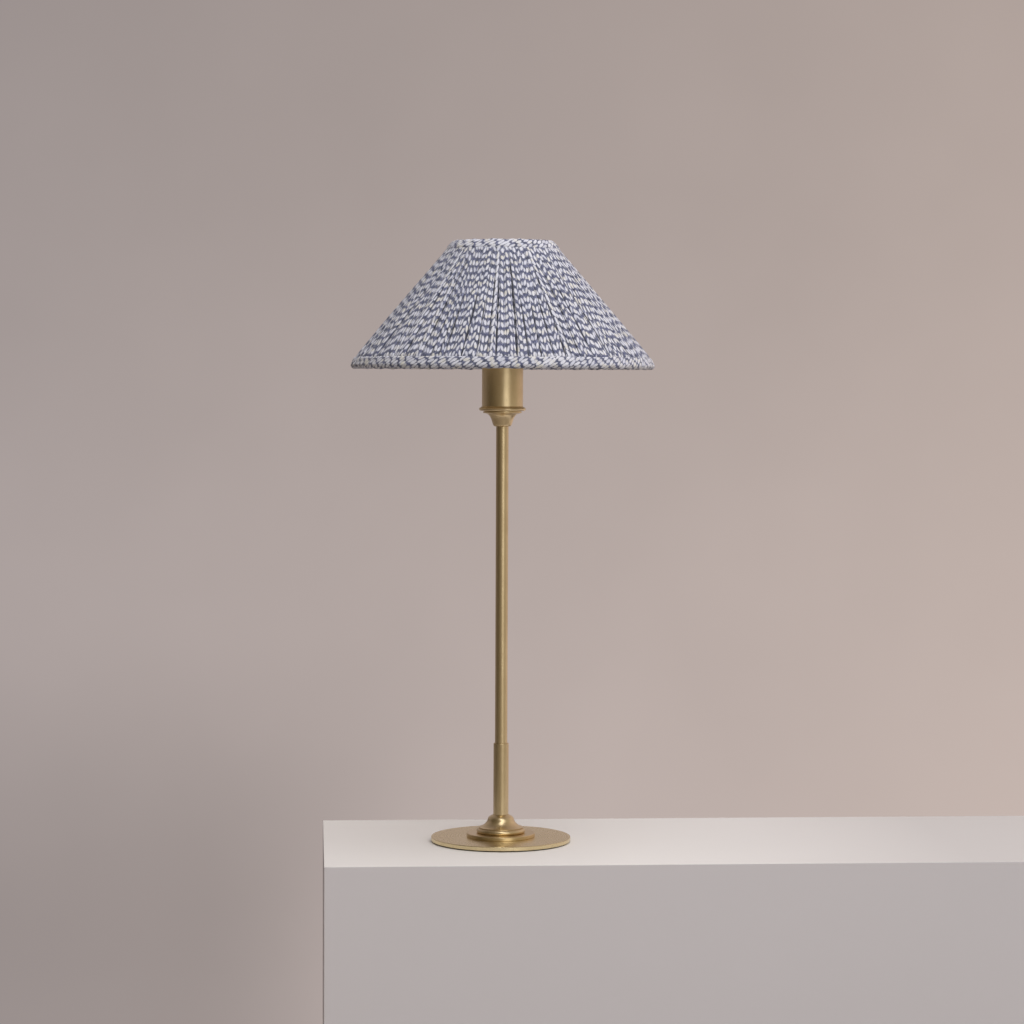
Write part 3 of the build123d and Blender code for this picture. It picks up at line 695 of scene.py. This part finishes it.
zinc, felt = zinc_material(), felt_material()
black = plastic_material("black_plastic", (0.012, 0.012, 0.013), (0.020, 0.020, 0.021), 0.40)
white_plastic = plastic_material("white_plastic", (0.78, 0.78, 0.76), (0.84, 0.84, 0.82), 0.34)
insulator = plastic_material("black_glass", (0.008, 0.008, 0.009), (0.018, 0.018, 0.018), 0.16)
bare_brass = brass_material("brass_pressed", "around", tone=1.12, rough=0.24)
nickel = zinc_material()
paint_and_plinth_shade = plastic_material("white_wire_paint", (0.72, 0.71, 0.68), (0.80, 0.79, 0.75), 0.36, 900.0)
wear("foot_felt", felt)
for n in ("base_screws", "earth_tag", "earth_screw", "cup_washer", "cup_nut", "terminal_screws"):
    wear(n, zinc)
wear("tie_rod", threaded_rod_material())
for n in ("flex_bush", "lampholder_cap", "lampholder_body", "clamp_ring"):
    wear(n, black)
wear("contact_block", ceramic_material())
for n in ("screw_shell", "centre_contact", "terminal_posts"):
    wear(n, bare_brass)
for n in ("bulb_contact", "bulb_cap"):
    wear(n, nickel)
wear("bulb_insulator", insulator)
wear("bulb_body", white_plastic)
wear("bulb_globe", opal_material())
for n in ("bulb_driver", "bulb_led_board"):
    wear(n, board_material())
carrier_mat = brass_material("carrier_wire_finish", "around", tone=0.95, rough=0.34)
for n in ("carrier_lower_ring", "carrier_top_ring", "carrier_arms"):
    wear(n, carrier_mat)
for n in ("shade_top_ring", "shade_bottom_ring", "shade_struts", "shade_centre_ring", "shade_centre_arms"):
    wear(n, paint_and_plinth_shade)

# ------------------------------------------------------------------ stage: a plain pale plinth on a plain pale floor
def stage_material(name, color, rough, mottle=0.04):
    t = Tree(name)
    co = t.coord("Object")
    cloud = t.noise(co, 2.2, 4.0, 0.55)
    col = t.mix(t.range(cloud, 0.3, 0.7), tuple(c * (1 - mottle) for c in color), tuple(c * (1 + mottle) for c in color))
    return t.set(color=col, rough=rough, spec=0.3)


def box_object(name, lo, hi, bevel=0.0006):
    x0, y0, z0 = lo
    x1, y1, z1 = hi
    v = [(x0, y0, z0), (x1, y0, z0), (x1, y1, z0), (x0, y1, z0), (x0, y0, z1), (x1, y0, z1), (x1, y1, z1), (x0, y1, z1)]
    f = [(3, 2, 1, 0), (4, 5, 6, 7), (0, 1, 5, 4), (1, 2, 6, 5), (2, 3, 7, 6), (3, 0, 4, 7)]
    o = mesh_object(name, v, f, smooth=False)
    b = o.modifiers.new("edge", "BEVEL")
    b.width = bevel
    b.segments = 3
    return o


plinth = box_object("plinth", (-0.1775, -0.145, -0.90), (3.2, 0.144, 0.0))
plinth.rotation_euler = (0, 0, math.radians(3.8))
t = Tree("pale_plinth")
px, py, pz = t.xyz(t.coord("Object"))
_, _, up = t.xyz(t.node("ShaderNodeNewGeometry").outputs["Normal"])
# painted light falloff: the plinth's top is coloured lighter on the left and darker to the right
top_light_falloff = t.mix(t.range(px, 0.12, 0.45), (0.930, 0.915, 0.916), (0.712, 0.690, 0.696))
# painted shade: the plinth's sideways-facing front and sides are coloured darker than its top
paint_and_plinth_shade = t.mix(t.range(up, 0.4, 0.8), (0.790, 0.765, 0.818), top_light_falloff)
paint_and_plinth_shade = t.mix(t.range(t.noise(t.coord("Object"), 3.0, 4.0, 0.6), 0.3, 0.7, 0.0, 0.05), paint_and_plinth_shade, (0.55, 0.53, 0.52))
plinth.data.materials.append(t.set(color=paint_and_plinth_shade, rough=0.7, spec=0.3))
room = mesh_object("room_floor", [(math.cos(math.radians(a)) * 3.0, math.sin(math.radians(a)) * 3.0, -0.90) for a in range(0, 360, 5)], [list(range(72))], smooth=False)
room.data.materials.append(stage_material("pale_floor", (0.50, 0.47, 0.45), 0.8))

# the air round it: a plain taupe studio, darker to the left, lighter to the right
world = bpy.data.worlds.new("studio")
bpy.context.scene.world = world
world.use_nodes = True
wt = world.node_tree
wt.nodes.clear()


def wn(kind, **props):
    n = wt.nodes.new(kind)
    for k, v in props.items():
        setattr(n, k, v)
    return n


def wl(a, b):
    if isinstance(a, (int, float, tuple)):
        b.default_value = a
    else:
        wt.links.new(a, b)


def wmath(op, a, b=None, clamp=False):
    n = wn("ShaderNodeMath", operation=op, use_clamp=clamp)
    wl(a, n.inputs[0])
    if b is not None:
        wl(b, n.inputs[1])
    return n.outputs[0]


def wrange(v, a, b, c, d, kind="LINEAR"):
    n = wn("ShaderNodeMapRange", interpolation_type=kind, clamp=True)
    for x, s in zip((v, a, b, c, d), n.inputs):
        wl(x, s)
    return n.outputs["Result"]


tc = wn("ShaderNodeTexCoord")
sep = wn("ShaderNodeSeparateXYZ")
wl(tc.outputs["Generated"], sep.inputs[0])
dx, dy, dz = sep.outputs
wall = wmath("SUBTRACT", wmath("ADD", wmath("MULTIPLY", dx, 0.21), 0.365), wmath("MULTIPLY", dz, 0.36))
wall = wmath("MULTIPLY", wall, wmath("SUBTRACT", 1.0, wmath("MULTIPLY", wrange(dz, -0.06, -0.20, 0.0, 0.33, "SMOOTHSTEP"), wrange(dx, 0.0, -0.11, 0.0, 1.0, "SMOOTHSTEP"))))
wall = wmath("ADD", wall, wrange(dz, 0.13, 0.30, 0.0, 0.22, "SMOOTHSTEP"))
wall = wrange(wall, 0.14, 0.62, 0.14, 0.62)
front = wrange(dx, -1.0, 1.0, 0.055, 0.42)
level = wn("ShaderNodeMix", data_type="FLOAT")
wl(wrange(dy, -0.30, 0.35, 0.0, 1.0, "SMOOTHSTEP"), level.inputs[0])
wl(front, level.inputs[2])
wl(wall, level.inputs[3])
wash = wn("ShaderNodeTexNoise")
wl(tc.outputs["Generated"], wash.inputs["Vector"])
wash.inputs["Scale"].default_value = 9.0
wash.inputs["Detail"].default_value = 4.0
value = wmath("MULTIPLY", level.outputs[0], wrange(wash.outputs["Fac"], 0.3, 0.7, 0.965, 1.035))
bg = wn("ShaderNodeBackground")


def wcolor(f, a, b):
    n = wn("ShaderNodeMix", data_type="RGBA")
    wl(f, n.inputs[0])
    for x, s in ((a, n.inputs[6]), (b, n.inputs[7])):
        wl((*x, 1) if isinstance(x, tuple) else x, s)
    return n.outputs[2]


wall_tint = wcolor(wrange(dx, -0.17, 0.17, 0.0, 1.0), (1.160, 1.0, 0.965), (1.205, 1.0, 0.915))
front_tint = wcolor(wrange(dx, -1.0, 1.0, 0.0, 1.0), (1.22, 1.0, 0.68), (1.12, 1.0, 0.82))
wl(wcolor(wrange(dy, -0.30, 0.35, 0.0, 1.0, "SMOOTHSTEP"), front_tint, wall_tint), bg.inputs["Color"])
wl(value, bg.inputs["Strength"])
wo = wn("ShaderNodeOutputWorld")
wl(bg.outputs[0], wo.inputs["Surface"])


def softbox(name, at, aim, size, watts, color=(0.985, 1.0, 1.025), glossy=True):
    d = bpy.data.lights.new(name, "AREA")
    d.shape = "RECTANGLE"
    d.size, d.size_y = size
    d.energy = watts
    d.color = color
    o = link(bpy.data.objects.new(name, d))
    o.location = at
    o.rotation_euler = (Vector(aim) - Vector(at)).to_track_quat("-Z", "Y").to_euler()
    o.visible_camera = False
    o.visible_glossy = glossy
    return o


def watts(radiance, size):
    return radiance * math.pi * size[0] * size[1]


def at(az, dist, z):
    """A place round the lamp: az 0 is the camera's side, and it grows to the right."""
    a = math.radians(az)
    return (dist * math.sin(a), -dist * math.cos(a), z)


key_size = (1.30, 2.40)
softbox("key", at(23, 2.6, 1.0), (0, 0, 0.35), key_size, watts(1.15, key_size))
top_size = (2.4, 2.4)
softbox("overhead", (0.52, -0.35, 2.5), (0, 0, 0.2), top_size, watts(1.50, top_size), (1.0, 0.985, 1.0), glossy=False)
strip_size = (0.92, 3.4)
softbox("strip", (0.17, -1.45, 2.35), (0.02, 0, 0.1), strip_size, watts(1.95, strip_size))

# ------------------------------------------------------------------ camera
cam = bpy.data.cameras.new("camera")
cam.sensor_fit = "HORIZONTAL"
cam.sensor_width = 36.0
cam.lens = 2859 / 1024 * 36.0
cam.clip_start, cam.clip_end = 0.05, 60.0
eye = link(bpy.data.objects.new("camera", cam))
eye.location = (0, -2.85, 0.461)
pitch, yaw, roll = math.radians(2.6206), math.radians(0.20), math.radians(0.235)
ahead = Vector((math.sin(yaw) * math.cos(pitch), math.cos(yaw) * math.cos(pitch), -math.sin(pitch)))
q = ahead.to_track_quat("-Z", "Y")
eye.rotation_mode = "QUATERNION"
eye.rotation_quaternion = Quaternion(ahead, -roll) @ q
bpy.context.scene.camera = eye
bpy.context.scene.view_settings.view_transform = "Standard"
